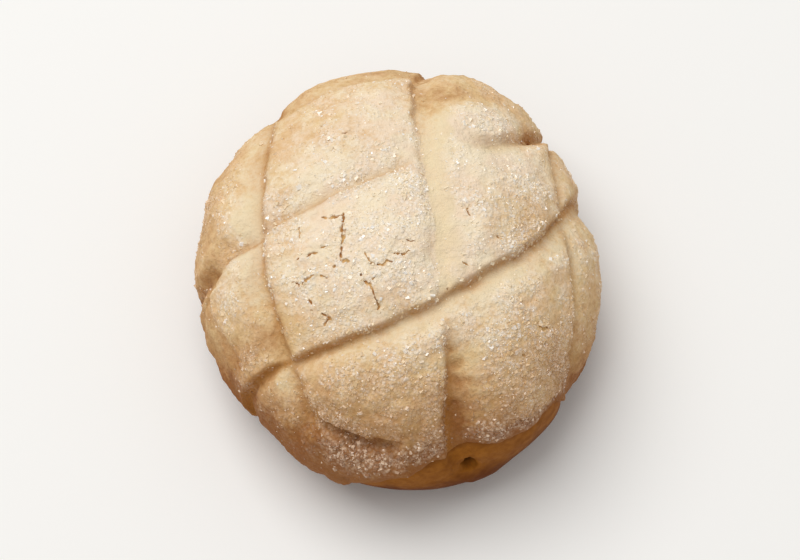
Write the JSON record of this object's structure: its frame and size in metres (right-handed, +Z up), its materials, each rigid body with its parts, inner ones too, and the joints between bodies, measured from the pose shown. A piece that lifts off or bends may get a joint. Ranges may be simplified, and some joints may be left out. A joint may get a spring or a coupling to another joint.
{
  "type": "melon pan bun",
  "caption": "Round sweet bread bun under a domed cap of pale, sugared cookie dough, scored in a grid, with the browned bread showing below its uneven edge.",
  "frame": {"origin": "centre of the bottom of the bounding box, on the surface the bun rests on", "axes": "+Z up; -Y towards the side where the crust stops short and the bread shows; +X to the right when looking along +Y"},
  "size_m": [0.1009, 0.1111, 0.0524],
  "materials": {
    "cookie_crust": "matte",
    "bread": "matte",
    "sugar": "satin"
  },
  "bodies": {
    "root": {"cookie_crust": "cookie_crust", "bread": "bread"}
  },
  "joints": []
}
